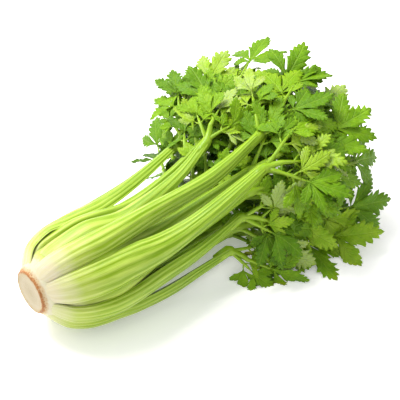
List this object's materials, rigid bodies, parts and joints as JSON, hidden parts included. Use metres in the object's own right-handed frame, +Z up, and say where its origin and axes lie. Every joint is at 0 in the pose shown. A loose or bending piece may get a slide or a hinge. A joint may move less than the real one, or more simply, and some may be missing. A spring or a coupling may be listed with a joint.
{
  "type": "head of celery",
  "caption": "Whole head of celery lying on its side: ribbed stalks packed round a cut root plate, each ending in a spray of toothed three-lobed leaflets.",
  "frame": {"origin": "centre of the underside of the object's box, on the surface that it lies on", "axes": "+X runs along the head from the cut root end to the leaf tips, +Y is across it, +Z is up"},
  "size_m": [0.3618, 0.2266, 0.137],
  "materials": {
    "crown_flesh": "cut root plate, cream flesh with a browned rim, matte",
    "stalk_skin": "ribbed stalk skin, cream at the root to yellow-green, moist satin",
    "heart_skin": "pale inner stalk skin, moist satin",
    "leaf_blade": "thin green leaf blade, satin above and paler below"
  },
  "bodies": {
    "root": {"crown": "crown_flesh", "outer_stalk_1": "stalk_skin", "outer_stalk_2": "stalk_skin", "outer_stalk_3": "stalk_skin", "outer_stalk_4": "stalk_skin", "outer_stalk_5": "stalk_skin", "outer_stalk_6": "stalk_skin", "outer_stalk_7": "stalk_skin", "outer_stalk_8": "stalk_skin", "middle_stalk_1": "stalk_skin", "middle_stalk_2": "stalk_skin", "middle_stalk_3": "stalk_skin", "middle_stalk_4": "stalk_skin", "middle_stalk_5": "stalk_skin", "middle_stalk_6": "stalk_skin", "middle_stalk_7": "stalk_skin", "middle_stalk_8": "stalk_skin", "heart_stalk_1": "heart_skin", "heart_stalk_2": "heart_skin", "heart_stalk_3": "heart_skin", "heart_stalk_4": "heart_skin", "outer_leaf_1": "leaf_blade", "outer_leaf_2": "leaf_blade", "outer_leaf_3": "leaf_blade", "outer_leaf_4": "leaf_blade", "outer_leaf_5": "leaf_blade", "outer_leaf_6": "leaf_blade", "outer_leaf_7": "leaf_blade", "outer_leaf_8": "leaf_blade", "middle_leaf_1": "leaf_blade", "middle_leaf_2": "leaf_blade", "middle_leaf_3": "leaf_blade", "middle_leaf_4": "leaf_blade", "middle_leaf_5": "leaf_blade", "middle_leaf_6": "leaf_blade", "middle_leaf_7": "leaf_blade", "middle_leaf_8": "leaf_blade", "heart_leaf_1": "leaf_blade", "heart_leaf_2": "leaf_blade", "heart_leaf_3": "leaf_blade", "heart_leaf_4": "leaf_blade"}
  },
  "joints": []
}
